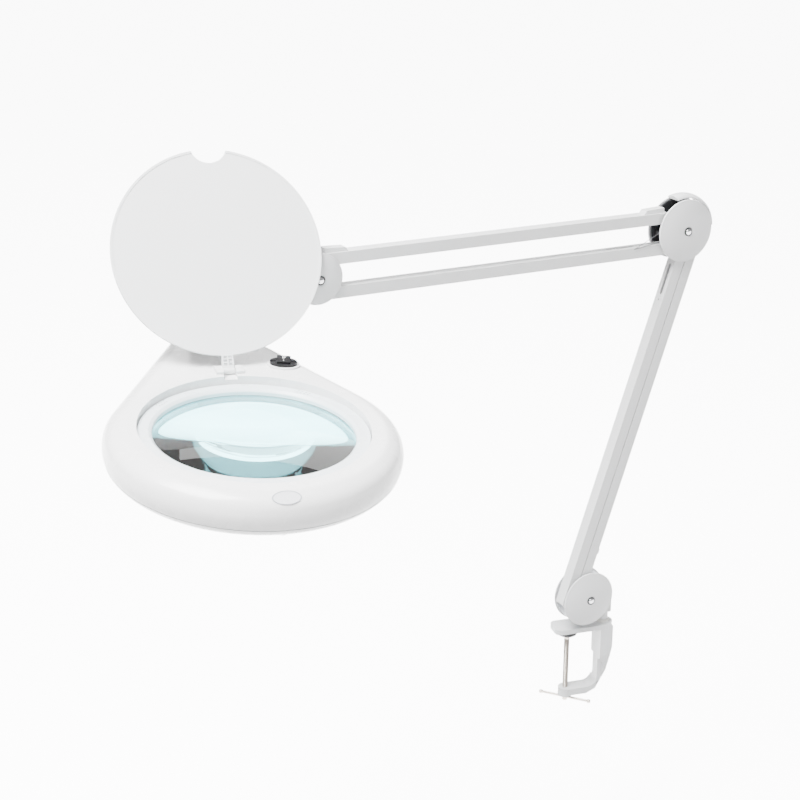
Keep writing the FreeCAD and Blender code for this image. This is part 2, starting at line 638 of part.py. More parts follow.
# ---------------------------------------------------------------- elbow joint
def make_elbow_extras():
    hood = part_body("elbow_hood")
    half, rise = "hood_half_width", "(hood_crown - hood_edge - 1.4)"
    centre = "hood_crown - ((%s - 1.6) ^ 2 + %s ^ 2) / (2 * %s)" % (half, rise, rise)
    revolve(hood, [[
        ("hood_inner", "-" + half), ("hood_edge", "-" + half), ("hood_edge + 1.4", "-%s + 1.6" % half),
        ("hood_crown", "0", centre, "0", 1),
        ("hood_edge + 1.4", half + " - 1.6", centre, "0", 1),
        ("hood_edge", half), ("hood_inner", half)]],
        angle="hood_end - hood_start")
    upright = turn(AXIS_X, 90)
    keep("elbow_hood", hood, ELBOW.multiply(turn(AXIS_Y, -size("hood_start"))).multiply(upright))
    anchor = part_body("elbow_spring_anchor")
    pad(anchor, "XZ", [[
        ("-8", "-11"), ("-5", "-9"), ("-5", "8"), ("-10", "8"),
        ("upper_pivot_x", "3"),
        ("upper_pivot_x", "-6", "upper_pivot_x", "-1.5", 1)]], "bar_depth")
    keep("elbow_spring_anchor", anchor, ELBOW)


# ---------------------------------------------------------------- head joint
def make_head_bracket():
    """The arm that carries the swivel boss, held between the head joint's side plates."""
    arm = part_body("head_bracket_arm")
    reach, drop = "-stem_reach", "-stem_drop"
    pad(arm, "XZ", [[
        ("-9", "-13"), ("-9", "13"), ("-15", "17"), ("-24", "8"),
        (reach + " + stem_boss_radius + 1", drop + " + stem_boss_high - 1.5"),
        (reach, drop + " + stem_boss_high - 1.5"),
        (reach, drop + " + stem_boss_low + 1.5"),
        (reach + " + 4", drop + " + stem_boss_low + 1.5"), ("-24", "-19")]],
        "bar_depth + 2 * side_gap - 0.02")
    keep("head_bracket_arm_blank", arm, HEAD_JOINT)
    nodes.pop("head_bracket_arm_blank")
    boss = doc.addObject("Part::Cylinder", "swivel_boss")
    set_size(boss, "Radius", "stem_boss_radius")
    set_size(boss, "Height", "stem_boss_high - stem_boss_low")
    boss.Placement = STEM.multiply(shift(0, 0, size("stem_boss_low")))
    whole = doc.addObject("Part::Fuse", "head_bracket_whole")
    whole.Base, whole.Tool = arm, boss
    bore = doc.addObject("Part::Cylinder", "swivel_bore")
    set_size(bore, "Radius", "stem_radius + run_gap")
    set_size(bore, "Height", "stem_boss_high * 3")
    bore.Placement = STEM.multiply(shift(0, 0, -size("stem_boss_high")))
    result = doc.addObject("Part::Cut", "head_bracket_arm")
    result.Base, result.Tool = whole, bore
    doc.recompute()
    keep("head_bracket_arm", result, CLAMP)


def make_swivel_stem():
    """The swivel pin with its flange, and the flat lug that the tilt bolt goes through."""
    flange_low = "stem_boss_low - face_gap - stem_flange"
    stem = lathe("swivel_stem", [
        ("0", flange_low), ("stem_boss_radius - 0.5", flange_low),
        ("stem_boss_radius - 0.5", "stem_boss_low - face_gap"),
        ("stem_radius", "stem_boss_low - face_gap"), ("stem_radius", "stem_boss_high + 7"),
        ("0", "stem_boss_high + 7")])
    pad(stem, "YZ", [[
        ("lug_radius", "0", "0", "0", 1), ("lug_radius", flange_low + " + 0.5"),
        ("-lug_radius", flange_low + " + 0.5"), ("-lug_radius", "0")]], "lug_thickness")
    pocket(stem, "YZ", [("0", "0", "tilt_bolt_radius + run_gap")], "lug_thickness * 2")
    keep("swivel_stem", stem, YAWED)
    washer = lathe("swivel_washer", [
        ("stem_radius + face_gap", "stem_boss_high + face_gap"),
        ("stem_boss_radius - 1", "stem_boss_high + face_gap"),
        ("stem_boss_radius - 1", "stem_boss_high + 1.4"),
        ("stem_radius + face_gap", "stem_boss_high + 1.4")])
    nut = lathe("swivel_nut", [
        ("stem_radius", "stem_boss_high + 1.4"), ("stem_boss_radius - 1.6", "stem_boss_high + 1.4"),
        ("stem_boss_radius - 1.6", "stem_boss_high + 5"),
        ("stem_boss_radius - 2.6", "stem_boss_high + 6"), ("stem_radius", "stem_boss_high + 6")])
    group("swivel_nut_set", [washer, nut], YAWED)


EAR_INNER = "lug_thickness / 2 + face_gap"
EAR_OUTER = "lug_thickness / 2 + face_gap + ear_thickness"


def make_tilt_joint():
    """Two ears on the neck, the tilt bolt, its washers and nut, and the clamping knob."""
    tilt_place = HEAD.multiply(shift(0, size("tilt_back"), size("tilt_height")))
    foot = "-(tilt_height - head_top)"
    ears = part_body("tilt_ears")
    pad(ears, "YZ", [[
        ("-ear_radius - 3", foot), ("ear_radius + 3", foot), ("ear_radius", "0"),
        ("-ear_radius", "0", "0", "0", 1)]], "2 * (%s)" % EAR_OUTER)
    pocket(ears, "YZ", [rectangle("-ear_radius * 2", foot + " + 2", "ear_radius * 2",
                                  "ear_radius * 2")], "2 * (%s)" % EAR_INNER)
    pocket(ears, "YZ", [("0", "0", "tilt_bolt_radius")], "4 * (%s)" % EAR_OUTER)
    keep("tilt_ears", ears, tilt_place)
    sideways = tilt_place.multiply(turn(AXIS_Y, -90))       # Z axis onto the head's -X
    bolt = lathe("tilt_bolt", [
        ("0", "-(%s) - 5" % EAR_OUTER), ("tilt_bolt_radius + 2", "-(%s) - 4.2" % EAR_OUTER),
        ("tilt_bolt_radius + 2.4", "-(%s) - 1.2" % EAR_OUTER),
        ("tilt_bolt_radius", "-(%s) - 1.2" % EAR_OUTER),
        ("tilt_bolt_radius", EAR_OUTER + " + knob_length - 4"),
        ("0", EAR_OUTER + " + knob_length - 4")])
    washers = []
    for number, low in enumerate(("-(%s) - 1.2" % EAR_OUTER, EAR_OUTER), start=1):
        ring = part_body("tilt_washer_%d" % number)
        pad(ring, "XY", [("0", "0", "ear_radius - 1"), ("0", "0", "tilt_bolt_radius")], "1.2",
            offset=low, middle=False)
        washers.append(ring)
    group("tilt_bolt_set", [bolt] + washers, sideways)
    low = EAR_OUTER + " + 1.2 + face_gap"
    knob = part_body("tilt_knob")
    revolve(knob, [[
        ("tilt_bolt_radius + run_gap", low), ("ear_radius - 1.4", low),
        ("ear_radius - 1.4", low + " + 3"), ("knob_radius - 0.8", low + " + 3.6"),
        ("knob_radius", low + " + 5"), ("knob_radius", low + " + knob_length - 1.6"),
        ("knob_radius - 1.6", low + " + knob_length"), ("0", low + " + knob_length"),
        ("0", low + " + knob_length - 3"), ("tilt_bolt_radius + run_gap", low + " + knob_length - 3")]])
    flutes = []
    for number in range(8):
        angle = math.radians(45 * number)
        flutes.append(("%f * (knob_radius + 1.9)" % math.cos(angle),
                       "%f * (knob_radius + 1.9)" % math.sin(angle), "3.1"))
    pocket(knob, "XY", flutes, "knob_length * 4")
    keep("tilt_knob", knob, sideways)


# ---------------------------------------------------------------- head shells
def pear_wire(inset, height):
    """The head's plan outline, drawn in by inset: a large round and the neck's round,
    joined by their common tangents."""
    front, rear = size("head_radius") - inset, size("neck_radius") - inset
    back = size("neck_back")
    lean = math.asin((front - rear) / back)
    cosine, sine = math.cos(lean), math.sin(lean)
    right_front = VECTOR(front * cosine, front * sine, height)
    right_rear = VECTOR(rear * cosine, back + rear * sine, height)
    left_front = VECTOR(-right_front.x, right_front.y, height)
    left_rear = VECTOR(-right_rear.x, right_rear.y, height)
    return Part.Wire([
        Part.Arc(left_front, VECTOR(0, -front, height), right_front).toShape(),
        Part.LineSegment(right_front, right_rear).toShape(),
        Part.Arc(right_rear, VECTOR(0, back + rear, height), left_rear).toShape(),
        Part.LineSegment(left_rear, left_front).toShape()])


def edge_inset(height, extra):
    """How far the round edge of the head is drawn in at one height."""
    middle = size("head_top") - 19.0
    reach = (size("head_top") - middle) if height > middle else (middle - size("head_bottom"))
    share = min(1.0, abs(height - middle) / reach)
    return 20.0 * (1.0 - math.sqrt(1.0 - share ** 2.2 * 0.999)) + extra


def pear_solid(low, high, extra):
    """The head's solid between two heights, with its rounded edge."""
    steps = 7
    heights = [low + (high - low) * (0.5 - 0.5 * math.cos(math.pi * step / steps))
               for step in range(steps + 1)]
    wires = [pear_wire(edge_inset(height, extra), height) for height in heights]
    return Part.makeLoft(wires, True, False)


def disc(radius, low, high, x=0.0, y=0.0):
    return Part.makeCylinder(radius, high - low, VECTOR(x, y, low))


def tube(outer, inner, low, high):
    return disc(outer, low, high).cut(disc(inner, low - 1, high + 1))


RING_FOOT = "-ring_height - lens_edge - 0.6"


def sloped(shape):
    """Puts a piece of the shells into the head's own frame."""
    shape.Placement = SLOPE
    return shape


def make_top_shell():
    wall, top, parting = size("shell_wall"), size("head_top"), size("parting")
    recess, ledge = size("recess_radius"), size(RING_FOOT)
    outer = sloped(pear_solid(parting, top, 0.0))
    inner = sloped(pear_solid(parting - 1, top - wall, wall))
    # inside the skin: the recess wall, the screw posts and a solid seat for the lid's hinge
    core = disc(recess + wall, ledge - wall, top - 0.5)
    for x, y in screw_places():
        core = core.fuse(sloped(disc(3.2, parting, top - wall, x, y)))
    core = core.fuse(hinge_box("hinge_width / 2 + 2.6", "-hinge_front - 8", "hinge_rear + 5.2",
                               "-hinge_floor - 3.8", top))
    shell = outer.cut(inner).fuse(core.common(outer))
    shell = shell.cut(disc(recess, ledge, top + 8))
    shell = shell.cut(disc(size("lens_radius") - 1.0, ledge - wall - 1, top))
    for x, y in screw_places():
        shell = shell.cut(sloped(disc(1.25, parting - 1, parting + 10, x, y)))
    shell = shell.cut(hinge_box("hinge_width / 2 + 0.1", "-hinge_front - 0.1", "hinge_rear + 2.7",
                                "-hinge_floor - 1.3", top + 3))
    shell = shell.cut(hinge_box("ladder_width / 2 + 0.8", "-hinge_front - 12", "-hinge_front + 1",
                                "-hinge_floor", top + 3))
    half_x, half_y = size("switch_half_x"), size("switch_half_y")
    shell = shell.fuse(switch_block(half_x + 2.4, half_y + 2.4, -2.0, 1.6))
    shell = shell.cut(switch_block(half_x - 1.7, half_y - 1.7, -12.0, 6.0))
    shell = shell.cut(badge_block(0.06, 3.0))
    own_shape("head_top_shell", shell.removeSplitter(), HEAD)


def oval_block(half_x, half_y, low, high):
    """An upright block with an elliptic outline."""
    outline = Part.Ellipse(VECTOR(0, 0, low), half_x, half_y).toShape()
    return Part.Face(Part.Wire([outline])).extrude(VECTOR(0, 0, high - low))


def badge_block(extra, height):
    """The oval badge's solid on the front slope, in the head's own frame."""
    plate = oval_block(12.2 + extra, 6.4 + extra, 0, height)
    lie = turn(AXIS_X, 31.0, VECTOR(0, -118.4, size("head_top") - 3.9 - extra))
    plate.Placement = SLOPE.multiply(lie)
    return plate


def screw_places():
    places = []
    for angle in (-150, -90, -30, 22, 158):
        reach = size("head_radius") - 14
        places.append((reach * math.cos(math.radians(angle)), reach * math.sin(math.radians(angle))))
    for side in (-1, 1):
        places.append((side * (size("neck_radius") - 16), size("neck_back") + 6))
    return places


def hinge_box(half_width, front, rear, low, high):
    """A box about the hinge pin: front, rear and low are measured from the pin."""
    half, start = size(half_width), size("hinge_back + " + front)
    floor = size("hinge_height + " + low)
    return Part.makeBox(2 * half, size("hinge_back + " + rear) - start, high - floor,
                        VECTOR(-half, start, floor))


def switch_block(half_x, half_y, low, high):
    """An oval block at the switch's place, in the head's own frame."""
    block = oval_block(half_x, half_y, low, high)
    block.Placement = HEAD.inverse().multiply(SWITCH)
    return block


def make_bottom_shell():
    wall, parting, bottom = size("shell_wall"), size("parting"), size("head_bottom")
    gap = 0.15
    outer = pear_solid(bottom, parting - gap, 0.0)
    inner = pear_solid(bottom + wall, parting + 1, wall)
    shell = outer.cut(inner)
    shell = shell.fuse(disc(size("window_radius") + wall, bottom, parting + 7))
    shell = shell.cut(disc(size("window_radius"), bottom - 1, parting + 8))
    window = tube(size("diffuser_outer"), size("diffuser_inner"), bottom - 1, bottom + wall + 1)
    shell = shell.cut(window)
    for x, y in screw_places():
        post = disc(3.6, bottom + wall - 0.5, parting - gap, x, y)
        shell = shell.fuse(post).cut(disc(1.7, bottom - 1, parting + 1, x, y))
        shell = shell.cut(disc(3.0, bottom - 1, bottom + 2.2, x, y))
    grommet_y, entry_height = size("neck_back + neck_radius"), size("parting") - 4.2

    def entry_disc(radius, start, length):
        return Part.makeCylinder(radius, length, VECTOR(0, grommet_y + start, entry_height), AXIS_Y)

    entry = entry_disc(2.8, -20, 40)
    own_shape("head_bottom_shell", shell.cut(entry).removeSplitter(), SHELL)
    sleeve = entry_disc(2.7, -15, 14).fuse(entry_disc(3.6, -16.6, 1.6)).cut(entry_disc(1.9, -20, 40))
    own_shape("cable_grommet", sleeve.removeSplitter(), SHELL)
    screws = []
    for x, y in screw_places():
        shank = disc(1.25, bottom + 2.2, parting + 8, x, y)
        screws.append(shank.fuse(disc(2.7, bottom + 0.6, bottom + 2.2, x, y)).removeSplitter())
    own_shape("shell_screws", Part.makeCompound(screws), SHELL)


def make_optics():
    foot = size(RING_FOOT)
    ring = lathe("lens_ring", [
        ("ring_inner", "-ring_height + 0.65"), ("lens_radius", "-ring_height + 0.05"),
        ("lens_radius + 0.3", "-ring_height + 0.05"),
        ("lens_radius + 0.3", RING_FOOT), ("ring_outer", RING_FOOT), ("ring_outer", "-0.6"),
        ("ring_outer - 0.6", "0"), ("ring_inner + 3", "0"), ("ring_inner + 0.6", "-1.6"),
        ("ring_inner", "-2.4")])
    keep("lens_ring", ring, HEAD)
    gasket = lathe("lens_gasket", [
        ("lens_radius - 2.0", RING_FOOT), ("lens_radius - 0.1", RING_FOOT),
        ("lens_radius - 0.1", "-ring_height - lens_edge - 0.06")])
    keep("lens_gasket", gasket, HEAD)
    radius, edge, bulge = size("lens_radius"), size("lens_edge"), size("lens_bulge")
    high, low = -size("ring_height"), -size("ring_height") - edge
    curve = (radius ** 2 + bulge ** 2) / (2 * bulge)
    ball_top = Part.makeSphere(curve, VECTOR(0, 0, high + bulge - curve))
    ball_low = Part.makeSphere(curve, VECTOR(0, 0, low - bulge + curve))
    blank = disc(radius, low - bulge, high + bulge)
    own_shape("lens", blank.common(ball_top).common(ball_low), HEAD)
    board_low = foot - size("shell_wall") - 3.0
    board = tube(size("diffuser_outer") - 3, size("diffuser_inner") + 0.6,
                 board_low, board_low + 1.6)
    middle = size("(diffuser_inner + diffuser_outer) / 2")
    count = 60
    for number in range(count):
        angle = math.radians(360.0 * number / count)
        lamp = Part.makeBox(2.8, 3.5, 0.8, VECTOR(-1.4, middle - 1.75, board_low - 0.8))
        lamp.rotate(VECTOR(0, 0, 0), AXIS_Z, math.degrees(angle))
        board = board.fuse(lamp)
    own_shape("led_board", board, SHELL)
    bottom, wall = size("head_bottom"), size("shell_wall")
    own_shape("diffuser", tube(size("diffuser_outer") - 0.2, size("diffuser_inner") + 0.2,
                               bottom + 0.4, bottom + wall), SHELL)
    driver = Part.makeBox(44, 34, 1.6, VECTOR(-22, 132, size("parting") + 4))
    choke = Part.makeBox(14, 12, 9, VECTOR(-16, 140, size("parting") + 5.6))
    can = Part.makeCylinder(5, 12, VECTOR(8, 150, size("parting") + 5.6))
    own_shape("driver_board", driver.fuse(choke).fuse(can).removeSplitter(), SHELL)


def make_switch():
    half_x, half_y = size("switch_half_x"), size("switch_half_y")
    bezel = switch_block(half_x, half_y, 1.6, 4.2).fuse(switch_block(half_x - 1.9, half_y - 1.9,
                                                                     -10.0, 2.0))
    window = Part.makeBox(size("rocker_half_x * 2 + 0.6"), size("rocker_half_y * 2 + 0.6"), 30,
                          VECTOR(-size("rocker_half_x") - 0.3, -size("rocker_half_y") - 0.3, -8.5))
    window.Placement = HEAD.inverse().multiply(SWITCH)
    pivot = Part.makeCylinder(1.05, 60, VECTOR(-30, 0, 3.6), AXIS_X)
    pivot.Placement = HEAD.inverse().multiply(SWITCH)
    bezel = bezel.cut(window).cut(pivot)
    own_shape("switch_bezel", bezel.removeSplitter(), HEAD)
    rocker = part_body("switch_rocker")
    long_half = "rocker_half_y"
    pad(rocker, "YZ", [[
        ("-(%s)" % long_half + " + 0.5", "-4"), (long_half + " - 0.5", "-4"),
        (long_half, "3.0"), (long_half + " - 0.7", "3.8"), ("0", "2.8"),
        ("-(%s) + 0.7" % long_half, "3.8"), ("-(%s)" % long_half, "3.0")]], "2 * rocker_half_x")
    pad(rocker, "YZ", [("0", "0", "1.0")], "2 * rocker_half_x + 2")
    pivot = shift(0, 0, 3.6)
    keep("switch_rocker", rocker, SWITCH.multiply(pivot).multiply(
        turn(AXIS_X, size("rocker_rest"))))


def make_badge():
    own_shape("badge", badge_block(0.0, 0.9), HEAD)


# ---------------------------------------------------------------- lid and its hinge
def make_hinge():
    base = part_body("lid_hinge_base")
    rear, rim = "hinge_rear + 2.6", "head_top - hinge_height"
    pad(base, "YZ", [[
        ("-hinge_front", "-hinge_floor - 1.2"), (rear, "-hinge_floor - 1.2"),
        (rear, rim), ("hinge_rear - 2", rim + " + 1.4"), ("-hinge_front + 2", rim + " + 1.4"),
        ("-hinge_front", rim)]], "hinge_width")
    pocket(base, "YZ", [rectangle("-hinge_front - 2", "-hinge_floor", "hinge_rear", rim + " + 4")],
           "ladder_width + 1")
    pocket(base, "YZ", [rectangle("hinge_rear - 3", rim, rear + " + 2", rim + " + 4")],
           "ladder_width + 1")
    pocket(base, "YZ", [("0", "0", "hinge_pin_radius")], "hinge_width * 2")
    keep("lid_hinge_base", base, LID_AXIS)
    rod = part_body("lid_hinge_pin")
    pad(rod, "YZ", [("0", "0", "hinge_pin_radius")], "hinge_width - 1")
    keep("lid_hinge_pin", rod, LID_AXIS)


def make_lid():
    """The lid in its closed place: flat below, at the pin's height, its centre forward."""
    reach = "hinge_back"
    under = "-lid_thickness / 2"
    lid = part_body("lid")
    pad(lid, "XY", [("0", "-" + reach, "lid_radius")], "lid_thickness")
    pocket(lid, "XY", [("0", "-%s" % reach, "lid_radius - 2.2")], "0.5",
           offset=under, middle=False, flip=True)
    front = "-%s - lid_radius" % reach
    pocket(lid, "XY", [("0", front + " - 4", "scoop_radius")], "lid_thickness * 3")
    keep("lid", lid, LID)
    arm = part_body("lid_hinge_arm")
    edge = "-%s + lid_radius" % reach
    width = "ladder_width / 2"
    pad(arm, "XY", [rectangle("-" + width, edge + " - 7", width, "0")], "ladder_thickness")
    pad(arm, "YZ", [("0", "0", "hinge_pin_radius + 1.5")], "ladder_width")
    cells = []
    for column in ("-ladder_width * 0.22", "ladder_width * 0.22"):
        for row in range(3):
            low = "%s + %f" % (edge, 0.6 + row * 3.3)
            cells.append(rectangle("%s - 1.55" % column, low, "%s + 1.55" % column, low + " + 2.3"))
    pocket(arm, "XY", cells, "ladder_thickness * 0.45", offset="-ladder_thickness / 2 - 0.01",
           middle=False, flip=True)
    pocket(arm, "YZ", [("0", "0", "hinge_pin_radius + run_gap")], "ladder_width * 2")
    pocket(arm, "XY", [("0", "-" + reach, "lid_radius")], "ladder_thickness * 3")
    keep("lid_hinge_arm", arm, LID)


# ---------------------------------------------------------------- assembly
make_clamp_frame()
make_swivel_bush()
make_clamp_screw()
make_tommy_bar()
make_pressure_pad()
make_base_post()
joint_parts("base", BASE, "base_cover_radius", "base_plate_radius",
            [BASE_LEFT_PIVOT, BASE_RIGHT_PIVOT])
make_lower_arm()
joint_parts("elbow", ELBOW, "elbow_cover_radius", "elbow_plate_radius",
            [ELBOW_LEFT_PIVOT, ELBOW_RIGHT_PIVOT, UPPER_TOP_PIVOT, UPPER_LOW_PIVOT])
make_elbow_extras()
make_upper_arm()
joint_parts("head", HEAD_JOINT, "head_cover_radius", "head_plate_radius",
            [HEAD_TOP_PIVOT, HEAD_LOW_PIVOT])
make_head_bracket()
make_swivel_stem()
make_tilt_joint()
make_top_shell()
make_bottom_shell()
make_optics()
make_switch()
make_badge()
make_hinge()
make_lid()
doc.recompute()

# ---------------------------------------------------------------- checks and files
for item in doc.Objects:
    if "Invalid" in item.State or "Error" in item.State:
        raise ValueError("%s did not recompute: %s" % (item.Label, item.State))
for node, item in nodes.items():
    if item.Shape.isNull() or not item.Shape.isValid() or not item.Shape.Solids:
        raise ValueError("%s has no valid solid" % node)

os.makedirs("parts", exist_ok=True)
for node, item in nodes.items():
    item.Shape.exportStep("parts/%s.step" % node)
print("%d nodes written" % len(nodes))
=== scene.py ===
"""Looks of a magnifying lamp on a desk clamp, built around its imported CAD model.

The row frame is in metres: the origin is on the clamp screw's axis, level with the underside of the
top jaw, +Z is up and +X runs from the screw to the clamp's column.
"""

import json
import math

import bmesh
import bpy
from mathutils import Matrix, Vector


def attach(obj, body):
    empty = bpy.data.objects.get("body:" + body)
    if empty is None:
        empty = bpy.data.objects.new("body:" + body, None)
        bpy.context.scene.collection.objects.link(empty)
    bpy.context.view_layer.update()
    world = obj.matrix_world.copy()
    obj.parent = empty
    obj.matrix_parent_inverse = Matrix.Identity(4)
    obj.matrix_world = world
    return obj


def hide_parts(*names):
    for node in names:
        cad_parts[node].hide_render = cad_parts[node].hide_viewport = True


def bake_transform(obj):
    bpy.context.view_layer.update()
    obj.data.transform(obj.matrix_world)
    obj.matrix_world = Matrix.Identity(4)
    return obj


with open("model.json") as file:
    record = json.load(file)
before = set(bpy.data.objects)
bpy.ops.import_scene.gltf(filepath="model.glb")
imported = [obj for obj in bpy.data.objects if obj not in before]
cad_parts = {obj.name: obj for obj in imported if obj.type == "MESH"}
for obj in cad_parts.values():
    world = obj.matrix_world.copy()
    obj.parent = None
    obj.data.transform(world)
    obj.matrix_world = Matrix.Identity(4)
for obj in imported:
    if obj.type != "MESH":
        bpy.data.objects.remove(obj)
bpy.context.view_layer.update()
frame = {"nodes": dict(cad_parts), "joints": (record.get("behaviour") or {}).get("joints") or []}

MM = 0.001
NODES = frame["nodes"]
JOINTS = {joint["name"]: joint for joint in frame["joints"]}


# ---------------------------------------------------------------- frames, from the joints
def joint_point(name):
    return Vector(JOINTS[name]["pos_m"])


def joint_axis(name):
    return Vector(JOINTS[name]["axis"]).normalized()


def placement(x_axis, y_axis, z_axis, origin):
    """The matrix of a frame from its axes and its origin."""
    matrix = Matrix((x_axis, y_axis, z_axis)).transposed().to_4x4()
    matrix.translation = origin
    return matrix


def shift(x, y, z):
    """A move in millimetres."""
    return Matrix.Translation(Vector((x, y, z)) * MM)


def turn(axis, degrees):
    return Matrix.Rotation(math.radians(degrees), 4, axis)


UP = Vector((0, 0, 1))
ARM_BACK = -joint_axis("lower_arm")          # away from the side that the head hangs toward
ARM_RIGHT = ARM_BACK.cross(UP)
arm_axes = (ARM_RIGHT, ARM_BACK, UP)
PIVOT_RIGHT_UP = {                           # each joint's first pivot, from its covers' centre, mm
    "base": (-25.3, -0.9), "elbow": (0.21, -25.08), "head": (1.1, 16.7),
}


def joint_frame(joint, key):
    """A frame on the covers' common axis: X to the arm's right, Y its back, Z up."""
    x, z = PIVOT_RIGHT_UP[key]
    return placement(*arm_axes, joint_point(joint)) @ shift(-x, 0, -z)


BASE = joint_frame("lower_arm", "base")
ELBOW = joint_frame("elbow_level", "elbow")
HEAD_JOINT = joint_frame("head_level", "head")

# The head's frame: its origin is at the middle of the ring's top face. The lid's hinge and the tilt
# bolt stand this far back from it and up, in mm, which gives the head's Y from their two joints.
HINGE_BACK, HINGE_UP, TILT_BACK, TILT_UP = 111.7, 7.4, 162.5, 22.0
head_x = joint_axis("head_tilt")
hinge_to_tilt = joint_point("head_tilt") - joint_point("lid_hinge")
lean = math.atan2(TILT_UP - HINGE_UP, TILT_BACK - HINGE_BACK)
head_y = (Matrix.Rotation(-lean, 3, head_x) @ hinge_to_tilt).normalized()
HEAD = placement(head_x, head_y, head_x.cross(head_y), joint_point("head_tilt")) @ shift(
    0, -TILT_BACK, -TILT_UP)

# The shells slope down to the front against the lens, about a line at the back of the neck.
SLOPE_BACK, SLOPE_UP, SLOPE_ANGLE = 175.0, 10.0, 1.9
SHELLS = (HEAD @ shift(0, SLOPE_BACK, SLOPE_UP) @ turn("X", SLOPE_ANGLE)
          @ shift(0, -SLOPE_BACK, -SLOPE_UP))
ROCKER_REST = 9.0                            # the rocker rests tipped by this, in degrees
shell_up = SHELLS.col[2].to_3d()
ROCKER = placement(joint_axis("switch_rock"), shell_up.cross(joint_axis("switch_rock")),
                   shell_up, joint_point("switch_rock")) @ turn("X", ROCKER_REST)


# ---------------------------------------------------------------- materials
CLOUD_SCALE, SMUDGE_SCALE, HAZE_SCALE = 14.0, 45.0, 30.0      # noise waves to a metre
NOISE_LOW, NOISE_HIGH = 0.3, 0.7             # most noise values lie between these
RAMP_LOW, RAMP_HIGH = 0.35, 0.65
COAT_ROUGH = 0.12


def new_material(name):
    material = bpy.data.materials.new(name)
    material.use_nodes = True
    nodes, links = material.node_tree.nodes, material.node_tree.links
    shader = nodes["Principled BSDF"]
    coordinates = nodes.new("ShaderNodeTexCoord")
    return material, nodes, links, shader, coordinates.outputs["Object"]


def noise(nodes, links, place, scale, detail=3.0, stretch=None):
    """A noise value in the object's own frame, stretched where the metal is brushed."""
    if stretch is not None:
        mapping = nodes.new("ShaderNodeMapping")
        mapping.inputs["Scale"].default_value = stretch
        links.new(place, mapping.inputs["Vector"])
        place = mapping.outputs["Vector"]
    texture = nodes.new("ShaderNodeTexNoise")
    texture.inputs["Scale"].default_value = scale
    texture.inputs["Detail"].default_value = detail
    links.new(place, texture.inputs["Vector"])
    return texture.outputs["Fac"]


def spread(nodes, links, value, low, high):
    """Maps a noise value onto low to high."""
    mapper = nodes.new("ShaderNodeMapRange")
    mapper.inputs["From Min"].default_value = NOISE_LOW
    mapper.inputs["From Max"].default_value = NOISE_HIGH
    mapper.inputs["To Min"].default_value = low
    mapper.inputs["To Max"].default_value = high
    links.new(value, mapper.inputs["Value"])
    return mapper.outputs["Result"]


def two_tone(nodes, links, value, first, second):
    """A colour that drifts between two with a noise value."""
    ramp = nodes.new("ShaderNodeValToRGB")
    ramp.color_ramp.elements[0].position = RAMP_LOW
    ramp.color_ramp.elements[1].position = RAMP_HIGH
    ramp.color_ramp.elements[0].color = (*first, 1)
    ramp.color_ramp.elements[1].color = (*second, 1)
    links.new(value, ramp.inputs["Fac"])
    return ramp.outputs["Color"]


def bump(nodes, links, shader, height, strength, distance=0.0002):
    """A fine relief of this distance in metres."""
    node = nodes.new("ShaderNodeBump")
    node.inputs["Strength"].default_value = strength
    node.inputs["Distance"].default_value = distance
    links.new(height, node.inputs["Height"])
    links.new(node.outputs["Normal"], shader.inputs["Normal"])


def finish(name, colour, rough, metallic=0.0, coat=0.0, grain=900.0, grain_strength=0.15,
           tone=0.03, rough_spread=0.05, stretch=None, specular=0.5):
    """A moulded, painted or metal finish with slight colour, roughness and surface variation."""
    material, nodes, links, shader, place = new_material(name)
    cloud = noise(nodes, links, place, CLOUD_SCALE, 4.0)
    darker = tuple(channel * (1.0 - tone) for channel in colour)
    links.new(two_tone(nodes, links, cloud, darker, colour), shader.inputs["Base Color"])
    smudge = noise(nodes, links, place, SMUDGE_SCALE, 5.0, stretch)
    links.new(spread(nodes, links, smudge, rough - rough_spread, rough + rough_spread),
              shader.inputs["Roughness"])
    fine = noise(nodes, links, place, grain, 2.0, stretch)
    bump(nodes, links, shader, fine, grain_strength)
    shader.inputs["Metallic"].default_value = metallic
    shader.inputs["Coat Weight"].default_value = coat
    shader.inputs["Coat Roughness"].default_value = COAT_ROUGH
    shader.inputs["Specular IOR Level"].default_value = specular
    return material


def lens_material():
    """Clear blue-green glass with a very slight haze."""
    material, nodes, links, shader, place = new_material("lens_glass")
    haze = noise(nodes, links, place, HAZE_SCALE)
    links.new(spread(nodes, links, haze, 0.0, 0.012), shader.inputs["Roughness"])
    links.new(two_tone(nodes, links, haze, (0.37, 0.80, 0.86), (0.40, 0.82, 0.88)),
              shader.inputs["Base Color"])
    shader.inputs["Transmission Weight"].default_value = 1.0
    shader.inputs["IOR"].default_value = 1.5
    return material


PAINT = finish("arm_powder_coat", (0.70, 0.703, 0.705), 0.42, grain=1400.0, grain_strength=0.22)
CAST = finish("clamp_powder_coat", (0.66, 0.665, 0.67), 0.40, grain=700.0, grain_strength=0.35,
              tone=0.05)
COVER = finish("cover_plastic", (0.68, 0.682, 0.69), 0.34, coat=0.1)
SHELL = finish("head_plastic", (0.90, 0.90, 0.90), 0.26, coat=0.15, grain_strength=0.05,
               tone=0.015)
LID_SKIN = finish("lid_plastic", (0.82, 0.822, 0.825), 0.42, grain=1600.0, grain_strength=0.12,
                  tone=0.012)
RING = finish("ring_plastic", (0.78, 0.84, 0.87), 0.28, coat=0.2, grain_strength=0.05)
BLACK = finish("black_plastic", (0.010, 0.010, 0.011), 0.45, grain=1800.0, tone=0.2,
               specular=0.25)
RUBBER = finish("black_rubber", (0.018, 0.018, 0.018), 0.7, grain=1200.0, tone=0.2)
# painted shade: the elbow's side plates are near black to stand in for the deep shadow inside the
# elbow joint
ELBOW_SHADE_STEEL = finish("elbow_plate_painted_shade", (0.035, 0.036, 0.04), 0.4, metallic=0.3, tone=0.2,
                    stretch=(1, 1, 12))
